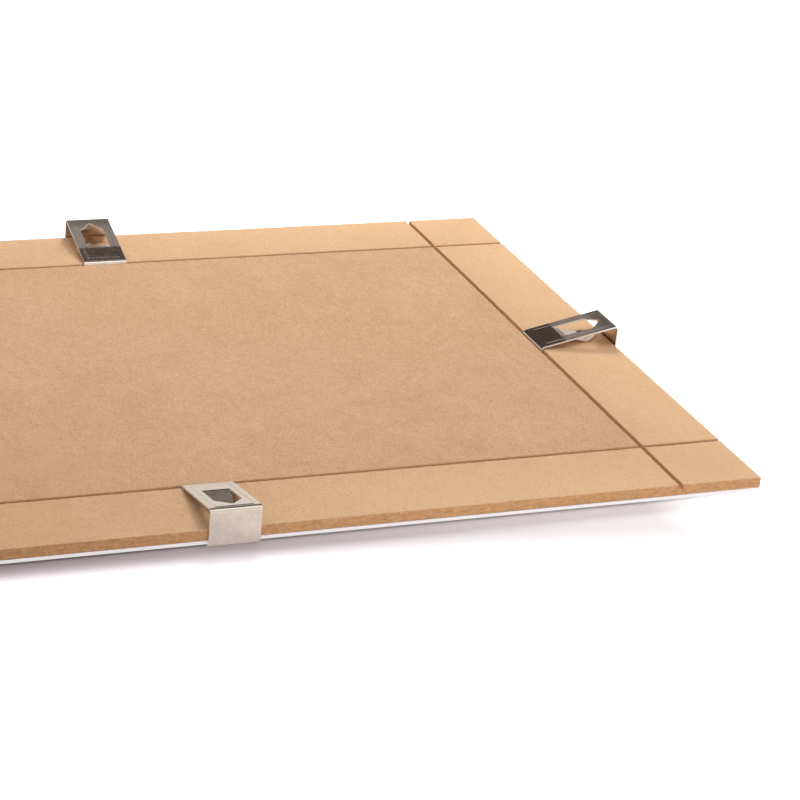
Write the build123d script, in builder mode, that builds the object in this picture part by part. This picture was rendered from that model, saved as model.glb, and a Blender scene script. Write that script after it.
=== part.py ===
from build123d import *
import os

# A frameless clip frame for an A4 picture, lying face down with its back up.
# The origin is at the middle of the frame, on the surface that it lies on.
# X runs along the long side, Y along the short side, Z points out of the back.
# All sizes are in millimetres.

# Stack of flat sheets
frame_length = 297.0
frame_width = 210.0
board_thickness = 3.0
insert_thickness = 0.2
insert_setback = 0.5
glazing_thickness = 1.0

# Saw kerfs in the back of the board, one along each edge
kerf_inset = 25.0
kerf_width = 1.3
kerf_depth = 1.5

# Spring clip, folded from one strip of steel
clip_width = 14.0
clip_thickness = 0.5
wall_gap = 0.4
lip_reach = 2.6
plate_height = 5.6
plate_rise_at_hook = 0.2
hook_depth = 1.2
hook_clearance = 0.3
hook_bend_radius = 1.0
outer_bend_radius = 0.6
lip_bend_radius = 0.35

# Hanging window in the clip's plate, square at its inner end and pointed at its outer end
window_width = 7.6
window_from_edge = 16.8
window_straight = 10.3
window_point = 4.2
window_corner_radius = 0.5

# Tongue pressed down out of the window, still joined to the plate at the inner end
tongue_clearance = 0.15
tongue_gap = 0.15
tongue_root = 0.6
tongue_toe_from_edge = 8.4
tongue_toe_rise = 0.55
tongue_bend_radius = 1.2
toe_bend_radius = 2.5

# Where each clip stands along its side, from the middle of the frame
near_clip_x = -5.5
far_clip_x = 9.2
right_clip_y = -2.7
left_clip_y = 0.0

# How far a cut runs past the material
overrun = 1.0

# Heights worked out from the stack: the lips lie on the table, under the glazing
glazing_z = clip_thickness
insert_z = glazing_z + glazing_thickness
board_z = insert_z + insert_thickness
back_z = board_z + board_thickness
stack_height = back_z - glazing_z

os.makedirs("parts", exist_ok=True)


def finish(piece, name):
    """Label one finished piece and write its file."""
    piece.part.label = name
    export_step(piece.part, f"parts/{name}.step")


# Glazing: one clear sheet, the lowest of the stack
with BuildPart() as glazing_sheet:
    with BuildSketch(Plane.XY.offset(glazing_z)):
        Rectangle(frame_length, frame_width)
    extrude(amount=glazing_thickness)
finish(glazing_sheet, "glazing_sheet")

# Insert: one blank white sheet of paper, set back a little from the edges
with BuildPart() as insert_sheet:
    with BuildSketch(Plane.XY.offset(insert_z)):
        Rectangle(frame_length - 2 * insert_setback, frame_width - 2 * insert_setback)
    extrude(amount=insert_thickness)
finish(insert_sheet, "insert_sheet")

# Backing board, with a kerf along each edge that runs out through both ends
with BuildPart() as backing_board:
    with BuildSketch(Plane.XY.offset(board_z)):
        Rectangle(frame_length, frame_width)
    extrude(amount=board_thickness)
    with BuildSketch(Plane.XY.offset(back_z)):
        with GridLocations(0, frame_width - 2 * kerf_inset, 1, 2):
            Rectangle(frame_length + 2 * overrun, kerf_width)
        with GridLocations(frame_length - 2 * kerf_inset, 0, 2, 1):
            Rectangle(kerf_width, frame_width + 2 * overrun)
    extrude(amount=-kerf_depth, mode=Mode.SUBTRACT)
finish(backing_board, "backing_board")

# The clip in section, seen along the board's edge: u is measured outwards from the edge,
# and v upwards from the board's back. The points are on the face that looks at the board.
hook_u = -(kerf_inset - kerf_width / 2 + hook_clearance)
plate_slope = (plate_height - plate_rise_at_hook) / (wall_gap - hook_u)


def plate_v(u):
    """Height of the plate's under face above the board's back."""
    return plate_rise_at_hook + plate_slope * (u - hook_u)


strip_points = [
    (hook_u, -hook_depth),
    (hook_u, plate_rise_at_hook),
    (wall_gap, plate_height),
    (wall_gap, -stack_height),
    (-lip_reach, -stack_height),
]
strip_radii = [hook_bend_radius, outer_bend_radius, lip_bend_radius]

# The tongue in section, from inside the plate to its turned-up toe
window_u = -window_from_edge
toe_u = -tongue_toe_from_edge
tip_u = window_u + window_straight + window_point - tongue_clearance
tongue_points = [
    (window_u - tongue_root, plate_v(window_u - tongue_root)),
    (window_u, plate_v(window_u)),
    (toe_u, tongue_gap),
    (tip_u, tongue_gap + tongue_toe_rise),
]
tongue_radii = [tongue_bend_radius, toe_bend_radius]


def house_points(start_u, shoulder_u, end_u, half_width):
    """Outline of a window or a tongue from above: straight sides and a pointed outer end."""
    return [
        (start_u, -half_width),
        (shoulder_u, -half_width),
        (end_u, 0),
        (shoulder_u, half_width),
        (start_u, half_width),
    ]


window_half = window_width / 2
shoulder_u = window_u + window_straight
point_u = shoulder_u + window_point
tongue_half = window_half - tongue_clearance

# Each clip stands on a point of the board's back edge and faces away from the board
clip_places = {
    "near_clip": ((near_clip_x, -frame_width / 2), (0, -1)),
    "far_clip": ((far_clip_x, frame_width / 2), (0, 1)),
    "right_clip": ((frame_length / 2, right_clip_y), (1, 0)),
    "left_clip": ((-frame_length / 2, left_clip_y), (-1, 0)),
}

for clip_name, ((edge_x, edge_y), (out_x, out_y)) in clip_places.items():
    edge_point = (edge_x, edge_y, back_z)
    plan = Plane(origin=edge_point, x_dir=(out_x, out_y, 0), z_dir=(0, 0, 1))
    section = Plane(origin=edge_point, x_dir=(out_x, out_y, 0), z_dir=(out_y, -out_x, 0))

    # Tongue: a bent strip, cut to the house shape of the window that it came from
    with BuildPart() as tongue:
        with BuildSketch(section):
            with BuildLine():
                FilletPolyline(*tongue_points, radius=tongue_radii)
                offset(amount=clip_thickness, side=Side.LEFT)
            make_face()
        extrude(amount=tongue_half, both=True)
        with BuildSketch(plan):
            with BuildLine():
                Polyline(
                    *house_points(
                        window_u - tongue_root,
                        shoulder_u - tongue_clearance,
                        point_u - tongue_clearance,
                        tongue_half,
                    ),
                    close=True,
                )
            make_face()
        extrude(amount=plate_height + overrun, both=True, mode=Mode.INTERSECT)

    # Clip: hook, plate, wall and lip are one bent strip, with its window cut and its tongue
    with BuildPart() as clip:
        with BuildSketch(section):
            with BuildLine():
                FilletPolyline(*strip_points, radius=strip_radii)
                offset(amount=clip_thickness, side=Side.LEFT)
            make_face()
        extrude(amount=clip_width / 2, both=True)
        with BuildSketch(plan) as window:
            with BuildLine():
                Polyline(*house_points(window_u, shoulder_u, point_u, window_half), close=True)
            make_face()
            fillet(window.vertices(), radius=window_corner_radius)
        extrude(amount=plate_height + overrun, mode=Mode.SUBTRACT)
        add(tongue.part)
    finish(clip, clip_name)
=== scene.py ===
import math

import bmesh
import bpy
from mathutils import Matrix, Vector, noise


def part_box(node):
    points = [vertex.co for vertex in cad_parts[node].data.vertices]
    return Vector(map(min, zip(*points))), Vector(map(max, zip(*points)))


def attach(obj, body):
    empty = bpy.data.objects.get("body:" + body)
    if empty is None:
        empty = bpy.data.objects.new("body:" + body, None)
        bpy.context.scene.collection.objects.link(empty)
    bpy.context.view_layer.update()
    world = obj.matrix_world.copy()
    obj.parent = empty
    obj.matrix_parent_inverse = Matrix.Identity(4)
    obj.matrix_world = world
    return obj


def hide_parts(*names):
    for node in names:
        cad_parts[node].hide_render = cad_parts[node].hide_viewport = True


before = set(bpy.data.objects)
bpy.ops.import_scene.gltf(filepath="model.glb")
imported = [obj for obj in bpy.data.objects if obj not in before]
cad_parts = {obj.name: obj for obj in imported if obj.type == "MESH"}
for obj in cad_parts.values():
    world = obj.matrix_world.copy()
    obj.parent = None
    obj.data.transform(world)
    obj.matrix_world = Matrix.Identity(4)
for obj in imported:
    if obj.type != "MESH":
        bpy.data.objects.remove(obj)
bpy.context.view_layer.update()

# A frameless clip frame for an A4 picture, lying face down on a white table.
# Sizes are in metres, and those of the clip are the ones that the solids are made from.
board_low, board_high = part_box("backing_board")
glazing_low, glazing_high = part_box("glazing_sheet")
back_z = board_high.z
stack_height = back_z - glazing_low.z

# Board: its kerfs, and the wear of its edges
kerf_inset = 0.025
kerf_width = 0.0013
kerf_depth = 0.0015
eased_edge = 0.0002
rim_width = 0.0006
worn_reach = 0.0005
worn_depth = 0.0003

# Glazing: its cut edges
glazing_edge = 0.00012

# Clip: its bends and heights, with u measured outwards from the board's edge
clip_width = 0.014
clip_thickness = 0.0005
wall_gap = 0.0004
lip_reach = 0.0026
plate_height = 0.0056
plate_rise_at_hook = 0.0002
hook_depth = 0.0012
hook_u = -0.02465
hook_bend_radius = 0.001
outer_bend_radius = 0.0006
lip_bend_radius = 0.00035
broken_edge = 0.0001

# Window in the clip's plate, and the tongue that is bent down out of it
window_half = 0.0038
window_u = -0.0168
shoulder_u = -0.0065
point_u = -0.0023
window_corner_radius = 0.0005
tongue_clearance = 0.00015
tongue_gap = 0.00015
tongue_toe_rise = 0.00055
tongue_toe_u = -0.0084
tongue_bend_radius = 0.0012
toe_bend_radius = 0.0025

# The pressed panel of the plate, which stands a little above the border around it
panel_border = 0.0015
panel_start_gap = 0.00105
panel_wall = 0.0003
panel_rise = 0.0001
panel_end_gap = 0.0002
panel_corner_radius = 0.0007
panel_edge_strip = 0.00012

# Lengths that count as nothing
tiny = 0.000001
tiniest = 0.0000001

slope = math.atan2(plate_height - plate_rise_at_hook, wall_gap - hook_u)


def plate_rise(u):
    """How high the plate's under face is above the board's back at u."""
    return (u - hook_u) * math.tan(slope) + plate_rise_at_hook


# Shader maths


class Wire:
    """A socket of a node tree that takes part in sums."""

    def __init__(self, tree, socket=None):
        self.tree = tree
        self.socket = socket

    def node(self, kind, settings=None, inputs=None, output=0):
        """Add a node: its settings are made first, and then the values or links of its sockets."""
        made = self.tree.nodes.new(kind)
        for name, value in (settings or {}).items():
            setattr(made, name, value)
        for name, value in (inputs or {}).items():
            if isinstance(value, Wire):
                self.tree.links.new(value.socket, made.inputs[name])
            else:
                made.inputs[name].default_value = value
        return Wire(self.tree, made.outputs[output] if len(made.outputs) else None)

    def maths(self, operation, *values):
        return self.node("ShaderNodeMath", {"operation": operation}, dict(enumerate(values)))

    def __add__(self, other):
        return self.maths("ADD", self, other)

    def __radd__(self, other):
        return self.maths("ADD", other, self)

    def __sub__(self, other):
        return self.maths("SUBTRACT", self, other)

    def __rsub__(self, other):
        return self.maths("SUBTRACT", other, self)

    def __mul__(self, other):
        return self.maths("MULTIPLY", self, other)

    def __rmul__(self, other):
        return self.maths("MULTIPLY", other, self)

    def size(self):
        return self.maths("ABSOLUTE", self)

    def larger(self, other):
        return self.maths("MAXIMUM", self, other)

    def fade(self, start, end):
        """A smooth step from 0 at start to 1 at end."""
        settings = {"interpolation_type": "SMOOTHSTEP"}
        inputs = {"Value": self, "From Min": start, "From Max": end}
        return self.node("ShaderNodeMapRange", settings, inputs)

    def blend(self, first, second):
        """Two colours mixed by this value."""
        inputs = {0: self, 6: first, 7: second}
        return self.node("ShaderNodeMix", {"data_type": "RGBA"}, inputs, 2)

    def axis(self, letter):
        return self.node("ShaderNodeSeparateXYZ", None, {0: self}, "XYZ".index(letter))

    def grains(self, scale, detail=2.0, roughness=0.5):
        """Noise with grains of one over scale metres."""
        inputs = {"Vector": self, "Scale": scale, "Detail": detail, "Roughness": roughness}
        return self.node("ShaderNodeTexNoise", None, inputs)

    def drawn(self, x, y, z):
        """These coordinates drawn out along the axes."""
        return self.node("ShaderNodeMapping", None, {"Vector": self, "Scale": (x, y, z)})


def colour(red, green, blue):
    return (red, green, blue, 1.0)


def new_finish(name):
    """An empty material and a wire into its nodes."""
    finish = bpy.data.materials.new(name)
    finish.use_nodes = True
    finish.node_tree.nodes.clear()
    return finish, Wire(finish.node_tree)


def surface(wire, shader):
    """Make this shader the material's surface."""
    wire.node("ShaderNodeOutputMaterial", None, {"Surface": shader})


def principled(wire, inputs):
    """The material's one Principled shader, with the values or links of its sockets."""
    surface(wire, wire.node("ShaderNodeBsdfPrincipled", None, inputs))


def bumps(wire, height, strength):
    """Normals bent by a height in metres."""
    return wire.node("ShaderNodeBump", None, {"Height": height, "Strength": strength, "Distance": 1.0})


# Finishes


def hardboard_finish():
    """Brown hardboard: fine fibres and dark flecks on its face, redder and darker where it is sawn, with
    painted light on its outer strips towards the right and painted shade on its sawn faces towards the
    left.
    """
    finish, wire = new_finish("hardboard")
    place = wire.node("ShaderNodeTexCoord", output="Object")
    x, y, z = (place.axis(letter) for letter in "XYZ")

    pressed = place.drawn(1.0, 0.55, 1.0)
    fibre = pressed.grains(1500.0, 3.0, 0.6)
    mottle = pressed.grains(520.0, 3.0, 0.55)
    cloud = place.grains(60.0, 2.0, 0.5)
    tone = (fibre - 0.5) * 0.75 + (mottle - 0.5) * 0.36 + (cloud - 0.5) * 0.2 + 0.5
    face_colour = tone.blend(colour(0.41, 0.21, 0.09), colour(0.85, 0.585, 0.37))

    # A redder corner at the near left
    redder = x.fade(0.0, -0.08) * y.fade(0.0, -0.08) * 0.32
    face_colour = redder.blend(face_colour, colour(0.62, 0.29, 0.14))

    # Strips outside the kerfs: paler than the field between them as their own tone, and paler still to
    # the right, most of all towards the outer edges there, as painted light
    strip = (x.size() - (board_high.x - kerf_inset)).larger(y.size() - (board_high.y - kerf_inset))
    # The part that grows with x is painted light, brighter to the right.
    paler_and_lit = strip.fade(-0.0002, 0.0002) * (0.08 + x.fade(-0.1, 0.12) * (0.16 + strip * 9.0))
    face_colour = paler_and_lit.blend(face_colour, colour(1.0, 0.64, 0.37))

    # Specks: dark fibres here and there
    speck = pressed.grains(1300.0, 2.0, 0.5).fade(0.64, 0.76)
    face_colour = (speck * 0.45).blend(face_colour, colour(0.33, 0.18, 0.09))

    # Sawn faces: layers of fibre that run along the board, darker to the left as painted shade, and
    # paler in the kerfs
    layer = place.drawn(0.35, 0.35, 1.0).grains(1700.0, 4.0, 0.65)
    strand = place.drawn(1.0, 1.0, 0.5).grains(1900.0, 3.0, 0.6)
    # The term that grows with x makes the sawn faces and kerfs darker to the left: painted shade.
    sawn_tone_and_shade = (layer - 0.5) * 1.3 + (strand - 0.5) * 0.9 + 0.3 + x.fade(-0.07, 0.03) * 0.31
    sawn_colour = sawn_tone_and_shade.blend(colour(0.41, 0.205, 0.088), colour(0.79, 0.445, 0.215))
    outside = (x.size() - (board_high.x - rim_width)).larger(y.size() - (board_high.y - rim_width))
    kerf_colour = sawn_tone_and_shade.blend(colour(0.52, 0.31, 0.17), colour(0.76, 0.5, 0.3))
    cut_colour = outside.fade(-0.0003, 0.0003).blend(kerf_colour, sawn_colour)
    on_face = z.fade(back_z - 0.00022, back_z - 0.00006)
    paint = on_face.blend(cut_colour, face_colour)

    inputs = {
        "Base Color": paint,
        "Roughness": 0.62 + (mottle - 0.5) * 0.3,
        "Specular IOR Level": 0.18,
        "Normal": bumps(wire, fibre * 0.00004 + mottle * 0.00005 + layer * 0.00005, 0.6),
    }
    principled(wire, inputs)
    return finish


def paper_finish():
    """Plain white paper with a faint tooth."""
    finish, wire = new_finish("paper")
    place = wire.node("ShaderNodeTexCoord", output="Object")
    tooth = place.grains(3500.0, 4.0, 0.6)
    shade = place.grains(300.0)
    tone = (tooth - 0.5) * 0.5 + (shade - 0.5) * 0.4 + 0.5
    paint = tone.blend(colour(0.8, 0.79, 0.77), colour(0.9, 0.89, 0.87))
    bump = bumps(wire, tooth * 0.00002, 0.5)
    principled(wire, {"Base Color": paint, "Roughness": 0.85, "Normal": bump})
    return finish


def glazing_finish():
    """Clear plastic sheet, frosted along its cut edges, which also glow a little as painted light."""
    finish, wire = new_finish("glazing")
    place = wire.node("ShaderNodeTexCoord", output="Object")
    x, y = place.axis("X"), place.axis("Y")
    cut = (x.size() - glazing_high.x).larger(y.size() - glazing_high.y).fade(-0.0004, -0.0001)
    saw = place.drawn(1.0, 1.0, 0.2).grains(2600.0, 3.0, 0.6)
    smear = place.grains(70.0, 3.0, 0.55)
    frost = saw.blend(colour(0.9, 0.88, 0.87), colour(1.0, 0.98, 0.97))
    inputs = {
        "Base Color": cut.blend(colour(0.93, 0.95, 0.95), frost),
        "Roughness": 0.05 + (smear - 0.5) * 0.02 + cut * 0.38,
        "Alpha": 0.16 + cut * 0.78,
        "IOR": 1.49,
        "Specular IOR Level": 0.8,
        # The cut edges glow faintly: painted light.
        "Emission Color": cut.blend(colour(0.0, 0.0, 0.0), colour(1.0, 0.95, 0.92)),
        "Emission Strength": 0.16,
    }
    principled(wire, inputs)
    return finish


def steel_finish(name, along):
    """Nickel-plated spring steel: fine lines along the strip, and small marks from handling."""
    finish, wire = new_finish(name)
    place = wire.node("ShaderNodeTexCoord", output="Object")
    lines = (0.05, 1.0, 1.0) if along == "X" else (1.0, 0.05, 1.0)
    rolled = place.drawn(*lines).grains(3200.0, 3.0, 0.6)
    haze = place.grains(500.0, 3.0, 0.6)
    tone = (haze - 0.5) * 0.8 + (rolled - 0.5) * 1.1 + 0.5
    paint = tone.blend(colour(0.54, 0.47, 0.4), colour(0.86, 0.77, 0.67))

    # Paler and rougher plate around the window, on every clip but the near one
    x, y, z = (place.axis(letter) for letter in "XYZ")
    u = (x.size() - board_high.x).larger(y.size() - board_high.y)
    near = y.fade(board_low.y + 0.03, board_low.y + 0.028)
    paler_rougher = u.fade(-0.0172, -0.016) * (1.0 - u.fade(-0.006, -0.002) * 0.45)
    paler_rougher = paler_rougher * (z - back_z - plate_rise(u)).fade(-0.0004, -0.0001) * (1.0 - near)
    paint = (paler_rougher * 0.4).blend(paint, colour(0.93, 0.82, 0.73))
    rough = 0.17 + (rolled - 0.5) * 0.1 + (haze - 0.5) * 0.16 + paler_rougher * 0.34
    bump = bumps(wire, rolled * 0.000004 + haze * 0.000012, 0.7)
    principled(wire, {"Base Color": paint, "Metallic": 1.0, "Roughness": rough, "Normal": bump})
    return finish


def sheared_finish():
    """The cut edges of the strip: brighter and rougher than its plated faces."""
    finish, wire = new_finish("sheared_edge")
    place = wire.node("ShaderNodeTexCoord", output="Object")
    torn = place.grains(4200.0, 3.0, 0.65)
    paint = torn.blend(colour(0.7, 0.66, 0.62), colour(1.0, 0.96, 0.92))
    rough = 0.38 + (torn - 0.5) * 0.3
    bump = bumps(wire, torn * 0.00003, 0.6)
    principled(wire, {"Base Color": paint, "Metallic": 0.6, "Roughness": rough, "Normal": bump})
    return finish


# Making pieces


def finish_piece(bm, name, finishes, body, node):
    """Turn a bmesh into a piece that rides on its body and stands for its solid."""
    mesh = bpy.data.meshes.new(name)
    bm.to_mesh(mesh)
    bm.free()
    for face in mesh.polygons:
        face.use_smooth = True
    for finish in finishes:
        mesh.materials.append(finish)
    piece = bpy.data.objects.new(name, mesh)
    bpy.context.scene.collection.objects.link(piece)
    even = piece.modifiers.new("even_shading", "WEIGHTED_NORMAL")
    even.keep_sharp = True
    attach(piece, body)
    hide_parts(node)


def sharpen(bm, degrees):
    """Mark the edges that turn by more than this as sharp."""
    for edge in bm.edges:
        edge.smooth = edge.is_manifold and edge.calc_face_angle(0.0) < math.radians(degrees)


def rounded(bm, geometry, amount, segments, affect):
    """Round some edges or corners. The new faces and vertices come back."""
    return bmesh.ops.bevel(
        bm,
        geom=geometry,
        offset=amount,
        offset_type="OFFSET",
        segments=segments,
        profile=0.5,
        affect=affect,
        material=-1,
        clamp_overlap=True,
    )


def new_verts(made):
    """The vertices among what an operator made."""
    return [item for item in made if isinstance(item, bmesh.types.BMVert)]


def new_edges(made):
    """The edges among what an operator made."""
    return [item for item in made if isinstance(item, bmesh.types.BMEdge)]


# Backing board


def narrowest(face):
    """The shortest side of a face."""
    return min(edge.calc_length() for edge in face.edges)


def pad_lines(reach):
    """Where the pads end along one axis, from the middle of the board."""
    return (reach, reach - kerf_inset + kerf_width / 2, reach - kerf_inset - kerf_width / 2)


def hardboard_back(finish):
    """The board: a slab with nine raised pads, so that the kerfs are the gaps between the pads."""
    bm = bmesh.new()
    floor_z = back_z - kerf_depth
    size = board_high - board_low
    bmesh.ops.create_cube(bm, size=1.0)
    bmesh.ops.scale(bm, vec=(size.x, size.y, size.z - kerf_depth), verts=bm.verts)
    bmesh.ops.translate(bm, vec=(0, 0, (board_low.z + floor_z) / 2), verts=bm.verts)
    for axis, reach in ((Vector((1, 0, 0)), board_high.x), (Vector((0, 1, 0)), board_high.y)):
        for side in (-1, 1):
            for wall in (-1, 1):
                spot = axis * side * (reach - kerf_inset + wall * kerf_width / 2)
                everything = bm.verts[:] + bm.edges[:] + bm.faces[:]
                bmesh.ops.bisect_plane(bm, geom=everything, plane_co=spot, plane_no=axis)

    # Pads
    bm.normal_update()
    pads = [f for f in bm.faces if f.normal.z > 0.5 and narrowest(f) > 2 * kerf_width]
    raised = bmesh.ops.extrude_face_region(bm, geom=pads)["geom"]
    bmesh.ops.translate(bm, vec=(0, 0, kerf_depth), verts=new_verts(raised))

    # Eased edges, and a narrow rim inside them for the wear
    top_z = back_z - tiny
    rims = [e for e in bm.edges if all(v.co.z > top_z for v in e.verts)]
    rounded(bm, rims, eased_edge, 3, "EDGES")
    bm.normal_update()
    tops = [f for f in bm.faces if f.normal.z > 0.999 and f.calc_center_median().z > top_z]
    bmesh.ops.inset_individual(bm, faces=tops, thickness=rim_width, use_even_offset=True)

    # Short steps along every edge, as many as its length needs, while the wide flat faces are out
    bm.normal_update()
    wide = [f for f in bm.faces if abs(f.normal.z) > 0.999 and narrowest(f) > 0.01]
    bmesh.ops.delete(bm, geom=wide, context="FACES_ONLY")
    for shortest, longest, cuts in ((0.2, 1.0, 330), (0.1, 0.2, 215), (0.02, 0.1, 32)):
        alike = [e for e in bm.edges if shortest < e.calc_length() <= longest]
        bmesh.ops.subdivide_edges(bm, edges=alike, cuts=cuts, use_grid_fill=False)
    bmesh.ops.holes_fill(bm, edges=[e for e in bm.edges if e.is_boundary], sides=0)
    bmesh.ops.recalc_face_normals(bm, faces=bm.faces[:])

    # Ragged edges: the saw leaves each one a little in and out, and a little down
    noise.seed_set(1)
    for vert in bm.verts:
        if vert.co.z > back_z - worn_depth:
            spot = vert.co
            x_gap = min(abs(abs(spot.x) - reach) for reach in pad_lines(board_high.x))
            y_gap = min(abs(abs(spot.y) - reach) for reach in pad_lines(board_high.y))
            near = max(0.0, 1.0 - min(x_gap, y_gap) / worn_reach)
            drift = noise.noise_vector(spot * 140.0) * 0.00012
            drift += noise.noise_vector(spot * 900.0) * 0.00011
            drop = max(0.0, noise.noise(spot * 650.0)) * 0.00016
            vert.co += Vector((drift.x, drift.y, 0.0)) * near
            vert.co.z -= drop * near
    sharpen(bm, 60)
    for vert in bm.verts:
        vert.co.x = min(max(vert.co.x, board_low.x), board_high.x)
        vert.co.y = min(max(vert.co.y, board_low.y), board_high.y)
    finish_piece(bm, "hardboard_back", [finish], "stack", "backing_board")


# Glazing


def clear_sheet(finish):
    """The glazing: a flat sheet with its cut edges just broken."""
    bm = bmesh.new()
    size = glazing_high - glazing_low
    bmesh.ops.create_cube(bm, size=1.0)
    bmesh.ops.scale(bm, vec=size, verts=bm.verts)
    bmesh.ops.translate(bm, vec=(glazing_low + glazing_high) / 2, verts=bm.verts)
    rounded(bm, bm.edges[:], glazing_edge, 2, "EDGES")
    sharpen(bm, 60)
    finish_piece(bm, "clear_sheet", [finish], "stack", "glazing_sheet")


# Clips: each is made beside the origin, and then stood in its place.
# X runs outwards from the board's edge, Y along the edge and Z up from the board's back.
# The sheet that is bent is the face that looks at the board, and gets its thickness last.

plate_way = Vector((math.cos(slope), 0.0, math.sin(slope)))
plate_up = Vector((-math.sin(slope), 0.0, math.cos(slope)))


def plate_shape(bm, points, rounded_corners=(), radius=0.0):
    """One flat face of the plate through these points, with some of its corners rounded."""
    verts = [bm.verts.new((u, across, plate_rise(u))) for u, across in points]
    face = bm.faces.new(verts)
    if rounded_corners:
        made = rounded(bm, [verts[i] for i in rounded_corners], radius, 4, "VERTICES")
        face = next(f for f in bm.faces if all(v in f.verts for v in made["verts"]))
    return face


def outline_of(bm, face):
    """Take a face away, and hand back the edges around it."""
    edges = face.edges[:]
    bmesh.ops.delete(bm, geom=[face], context="FACES_ONLY")
    return edges


def run(bm, edges, way, length):
    """Carry the sheet on from these edges, straight. Its new end edges come back."""
    grown = bmesh.ops.extrude_edge_only(bm, edges=edges)["geom"]
    bmesh.ops.translate(bm, vec=way * length, verts=new_verts(grown))
    return new_edges(grown)


def turn(bm, edges, way, radius, degrees, steps):
    """Bend the sheet on from these edges, down for degrees above 0. Its new ends and way come back."""
    side = Vector((way.z, 0.0, -way.x)) * math.copysign(1.0, degrees)
    centre = edges[0].verts[0].co + side * radius
    angle = math.radians(degrees)
    made = bmesh.ops.spin(
        bm, geom=edges, cent=centre, axis=(0, 1, 0), angle=angle, steps=steps, use_merge=False
    )
    return new_edges(made["geom_last"]), Matrix.Rotation(angle, 3, "Y") @ way


def edges_at(bm, u, half):
    """The open edges of the sheet that lie across it at u, inside half its width."""
    found = []
    for edge in bm.edges:
        inside = all(abs(v.co.x - u) < tiniest and abs(v.co.y) < half + tiniest for v in edge.verts)
        if inside and edge.is_boundary:
            found.append(edge)
    return found


def tangent(radius, degrees):
    """How far a bend starts before its corner."""
    return radius * math.tan(math.radians(degrees) / 2)


def pressed_plate(bm, start, end, root_u, tongue_half):
    """The plate: its flat border, the wall up to its pressed panel, and the window in the panel."""
    half = clip_width / 2
    low, high = start + panel_start_gap, end - panel_end_gap
    across = half - panel_border
    corners = ((low, -across), (high, -across), (high, across), (low, across))
    panel = plate_shape(bm, corners, (0, 1, 2, 3), panel_corner_radius)
    for thickness, rise in ((panel_edge_strip, 0.0), (panel_wall, panel_rise), (panel_edge_strip, 0.0)):
        bmesh.ops.inset_individual(
            bm, faces=[panel], thickness=thickness, depth=rise, use_even_offset=True
        )
    panel_outside = [e for e in bm.edges if e.is_boundary]
    panel_inside = outline_of(bm, max(bm.faces, key=lambda f: f.calc_area()))
    corners = (
        (window_u, -tongue_half),
        (root_u, -tongue_half),
        (root_u, tongue_half),
        (window_u, tongue_half),
        (window_u, window_half),
        (shoulder_u, window_half),
        (point_u, 0.0),
        (shoulder_u, -window_half),
        (window_u, -window_half),
    )
    window = outline_of(bm, plate_shape(bm, corners, (5, 6, 7), window_corner_radius))
    window_verts = list({vert for edge in window for vert in edge.verts})
    bmesh.ops.translate(bm, vec=plate_up * panel_rise, verts=window_verts)
    corners = ((start, -half), (end, -half), (end, half), (start, half))
    rim = outline_of(bm, plate_shape(bm, corners))
    bmesh.ops.triangle_fill(bm, edges=rim + panel_outside, use_beauty=True, normal=plate_up)
    bmesh.ops.triangle_fill(bm, edges=panel_inside + window, use_beauty=True, normal=plate_up)


def cut_to_point(bm, before, tip_u, tongue_half):
    """Cut the tongue, which is all faces but the ones before it, to the pointed shape of its window."""
    for side in (-1, 1):
        tongue = [f for f in bm.faces if f not in before]
        parts = tongue + list({e for f in tongue for e in f.edges})
        parts += list({v for f in tongue for v in f.verts})
        shoulder = Vector((shoulder_u - tongue_clearance, side * tongue_half, 0.0))
        along = Vector((tip_u, 0.0, 0.0)) - shoulder
        outwards = Vector((-along.y, along.x, 0.0)) * (side if along.x > 0 else -side)
        bmesh.ops.bisect_plane(bm, geom=parts, plane_co=shoulder, plane_no=outwards, clear_outer=True)


def thicken(bm):
    """Thicken the sheet outwards, and break the edges between its plated faces and its sheared ones."""
    bmesh.ops.remove_doubles(bm, verts=bm.verts, dist=tiniest)
    bmesh.ops.recalc_face_normals(bm, faces=bm.faces[:])
    plate_face = max(bm.faces, key=lambda f: abs(f.normal.dot(plate_up)) * f.calc_area())
    if plate_face.normal.dot(plate_up) < 0:
        bmesh.ops.reverse_faces(bm, faces=bm.faces[:])
    under = set(bm.verts)
    bmesh.ops.solidify(bm, geom=bm.faces[:], thickness=-clip_thickness)
    for face in bm.faces:
        if 0 < sum(v in under for v in face.verts) < len(face.verts):
            face.material_index = 1
    bmesh.ops.recalc_face_normals(bm, faces=bm.faces[:])
    sharp = [e for e in bm.edges if len({f.material_index for f in e.link_faces}) == 2]
    eased = rounded(bm, sharp, broken_edge, 3, "EDGES")["faces"]
    bmesh.ops.dissolve_degenerate(bm, dist=tiny, edges=bm.edges[:])
    broken = {face for face in eased if face.is_valid}
    sharpen(bm, 75)
    for edge in bm.edges:
        if len(broken.intersection(edge.link_faces)) == 1:
            edge.smooth = False


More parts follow.
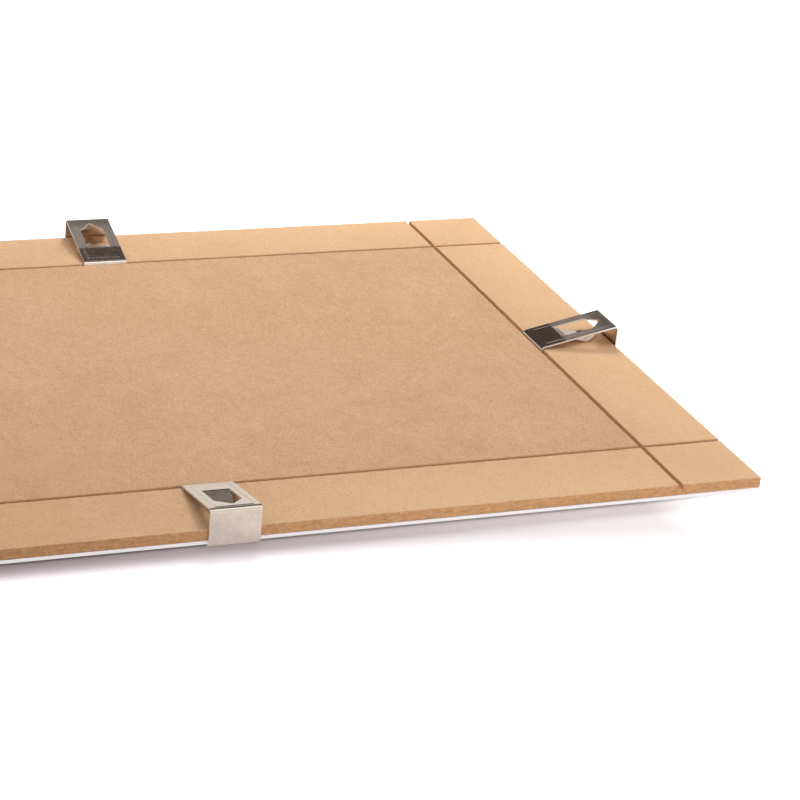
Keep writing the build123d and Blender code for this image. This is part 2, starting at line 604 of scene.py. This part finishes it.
def spring_clip(name, finishes, edge_point, out):
    """One clip, bent on from its plate both ways, with its window and its tongue."""
    half = clip_width / 2
    slope_degrees = math.degrees(slope)
    hook_degrees = 90.0 - slope_degrees
    outer_degrees = 90.0 + slope_degrees
    start = hook_u + tangent(hook_bend_radius, hook_degrees) * plate_way.x
    end = wall_gap - tangent(outer_bend_radius, outer_degrees) * plate_way.x

    # Bends of the tongue
    dip = math.degrees(math.atan2(plate_rise(window_u) - tongue_gap, tongue_toe_u - window_u))
    tip_u = point_u - tongue_clearance
    lift = math.degrees(math.atan2(tongue_toe_rise, tip_u - tongue_toe_u))
    root_degrees = slope_degrees + dip
    toe_degrees = dip + lift
    root_tangent = tangent(tongue_bend_radius, root_degrees)
    toe_tangent = tangent(toe_bend_radius, toe_degrees)
    root_u = window_u - root_tangent * plate_way.x
    tongue_half = window_half - tongue_clearance

    bm = bmesh.new()
    pressed_plate(bm, start, end, root_u, tongue_half)

    # Hook
    ends, way = turn(bm, edges_at(bm, start, half), -plate_way, hook_bend_radius, -hook_degrees, 8)
    run(bm, ends, way, plate_rise_at_hook + hook_depth - tangent(hook_bend_radius, hook_degrees))

    # Wall and lip
    ends, way = turn(bm, edges_at(bm, end, half), plate_way, outer_bend_radius, outer_degrees, 12)
    fall = plate_height + stack_height - tangent(outer_bend_radius, outer_degrees) - lip_bend_radius
    ends = run(bm, ends, way, fall)
    ends, way = turn(bm, ends, way, lip_bend_radius, 90.0, 8)
    run(bm, ends, way, wall_gap + lip_reach - lip_bend_radius)

    # Tongue
    before = set(bm.faces)
    open_edges = [e for e in bm.edges if e.is_boundary and e.calc_length() > tongue_half]
    root = [e for e in open_edges if all(abs(abs(v.co.y) - tongue_half) < tiniest for v in e.verts)]
    ends, way = turn(bm, root, plate_way, tongue_bend_radius, root_degrees, 6)
    slant = (tongue_toe_u - window_u) / math.cos(math.radians(dip))
    ends = run(bm, ends, way, slant - root_tangent - toe_tangent)
    ends, way = turn(bm, ends, way, toe_bend_radius, -toe_degrees, 6)
    toe = (tip_u - tongue_toe_u) / math.cos(math.radians(lift))
    run(bm, ends, way, toe - toe_tangent)
    cut_to_point(bm, before, tip_u, tongue_half)
    thicken(bm)

    # Its place on the board
    sideways = Vector((-out[1], out[0], 0.0))
    stand = Matrix((Vector((*out, 0.0)), sideways, Vector((0.0, 0.0, 1.0)))).transposed()
    bmesh.ops.transform(bm, matrix=Matrix.Translation(edge_point) @ stand.to_4x4(), verts=bm.verts)
    finish_piece(bm, "formed_" + name, finishes, name, name)


# Pieces

hardboard_back(hardboard_finish())
clear_sheet(glazing_finish())

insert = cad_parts["insert_sheet"]
insert.data.materials.clear()
insert.data.materials.append(paper_finish())

sheared = sheared_finish()
steel_x = steel_finish("spring_steel_x", "X")
steel_y = steel_finish("spring_steel_y", "Y")
clip_places = {
    "near_clip": (steel_y, (-0.0055, board_low.y), (0, -1)),
    "far_clip": (steel_y, (0.0092, board_high.y), (0, 1)),
    "right_clip": (steel_x, (board_high.x, -0.0027), (1, 0)),
    "left_clip": (steel_x, (board_low.x, 0.0), (-1, 0)),
}
for clip_name, (steel, (edge_x, edge_y), out) in clip_places.items():
    spring_clip(clip_name, [steel, sheared], Vector((edge_x, edge_y, back_z)), out)


# Table, light and camera


def seen(wire):
    """1 for what the camera, a mirror or clear plastic shows, and 0 for plain light."""
    names = ("Is Camera Ray", "Is Glossy Ray", "Is Transmission Ray")
    camera_ray, mirrored, through = (wire.node("ShaderNodeLightPath", output=name) for name in names)
    return camera_ray.larger(mirrored).larger(through)


def table_finish():
    """White table: close in front of the frame it shows the frame's shadow, deepened by painted shadow
    that is darkest at the left and widens to the right; pure white everywhere else.
    """
    finish, wire = new_finish("table_top")
    place = wire.node("ShaderNodeTexCoord", output="Object")
    x, y = place.axis("X"), place.axis("Y")
    rightwards = x.fade(-0.08, 0.13)
    # In front of the frame the white glow fades out over a band that widens to the right, so the dark
    # paint below shows there as painted shadow.
    in_front = ((board_low.y - y) * (1.2 - rightwards * 0.93)).fade(0.001, 0.0165)
    beside = (x.size() - board_high.x).fade(-0.045, 0.0)
    behind = (y - board_high.y).fade(-0.02, 0.0)
    # A faint glow that grows to the right is painted light that lifts the shadow there.
    away = in_front.larger(beside).larger(behind).larger(rightwards * 0.09)
    mirror = wire.node("ShaderNodeLightPath", output="Is Glossy Ray")
    mirrored = (board_low.y - y).fade(0.03, 0.2) * 0.6 + 0.4
    strength = seen(wire) * (away + mirror * (mirrored - away))
    # The paint is darker to the left: painted shadow, seen where the glow fades.
    shade = rightwards.blend(colour(0.5, 0.42, 0.45), colour(0.88, 0.83, 0.84))
    paint = wire.node("ShaderNodeBsdfDiffuse", None, {"Color": shade})
    glow = wire.node("ShaderNodeEmission", None, {"Color": colour(1.0, 1.0, 1.0), "Strength": strength})
    surface(wire, wire.node("ShaderNodeAddShader", None, {0: paint, 1: glow}))
    return finish


def table_top():
    bm = bmesh.new()
    bmesh.ops.create_grid(bm, x_segments=1, y_segments=1, size=4.0)
    mesh = bpy.data.meshes.new("table_top")
    bm.to_mesh(mesh)
    bm.free()
    mesh.materials.append(table_finish())
    table = bpy.data.objects.new("table_top", mesh)
    bpy.context.scene.collection.objects.link(table)


def soft_lamp(name, place, aim, size, power, tint):
    """A square softbox at a place, turned towards a point. Mirrors don't show it."""
    light = bpy.data.lights.new(name, "AREA")
    light.size = size
    light.energy = power
    light.color = tint
    lamp = bpy.data.objects.new(name, light)
    lamp.location = place
    lamp.rotation_euler = (Vector(aim) - Vector(place)).to_track_quat("-Z", "Y").to_euler()
    lamp.visible_glossy = False
    bpy.context.scene.collection.objects.link(lamp)


def studio_air():
    """The room: white to the camera, plain light from the front, and a studio that only mirrors show."""
    world = bpy.data.worlds.new("studio")
    bpy.context.scene.world = world
    world.use_nodes = True
    world.node_tree.nodes.clear()
    wire = Wire(world.node_tree)
    way = wire.node("ShaderNodeTexCoord", output="Generated")
    height = way.axis("Z")

    # In mirrors: a white horizon, a darker ceiling at the back, and a bright softbox overhead
    grey = height.fade(0.72, 0.78) * height.fade(0.95, 0.86)
    back_ceiling = grey.blend(colour(0.075, 0.062, 0.057), colour(0.46, 0.42, 0.41))
    back_part = height.fade(0.14, 0.32) * way.axis("Y").fade(-0.2, 0.05)
    ceiling = back_part.blend(colour(0.94, 0.91, 0.87), back_ceiling)
    overhead = height.fade(0.84, 0.92) * way.axis("Y").fade(0.0, -0.2)
    ceiling = overhead.blend(ceiling, colour(2.0, 2.05, 2.1))
    mirror = wire.node("ShaderNodeLightPath", output="Is Glossy Ray")
    shown = mirror.blend(colour(1.0, 1.0, 1.0), ceiling)

    # Plain light
    front = way.axis("Y").fade(0.0, -0.6) * height.fade(0.45, 0.25)
    plain = front.blend(colour(0.33, 0.325, 0.33), colour(2.1, 2.08, 2.08))
    tint = seen(wire).blend(plain, shown)
    sky = wire.node("ShaderNodeBackground", None, {"Color": tint, "Strength": 1.0})
    wire.node("ShaderNodeOutputWorld", None, {"Surface": sky})


table_top()
studio_air()
soft_lamp("back_softbox", (0.3, 0.62, 0.5), (0.02, 0, 0), 0.25, 4.35, (1.0, 0.985, 0.96))
soft_lamp("top_softbox", (0.1, 0.1, 1.0), (0, 0, 0), 0.6, 3.0, (1.0, 1.0, 0.99))

lens = bpy.data.cameras.new("view")
lens.sensor_width = 36.0
lens.lens = 110.025
lens.clip_start = 0.01
lens.clip_end = 50.0
camera = bpy.data.objects.new("view", lens)
camera_place = Matrix.Translation((-0.18954, -0.63356, 0.29198))
azimuth, elevation, roll = (math.radians(degrees) for degrees in (23.2076, 23.8961, 5.4405))
aim = Matrix.Rotation(-azimuth, 4, "Z") @ Matrix.Rotation(math.pi / 2 - elevation, 4, "X")
camera.matrix_world = camera_place @ aim @ Matrix.Rotation(roll, 4, "Z")
bpy.context.scene.collection.objects.link(camera)
bpy.context.scene.camera = camera
bpy.context.scene.view_settings.view_transform = "Standard"
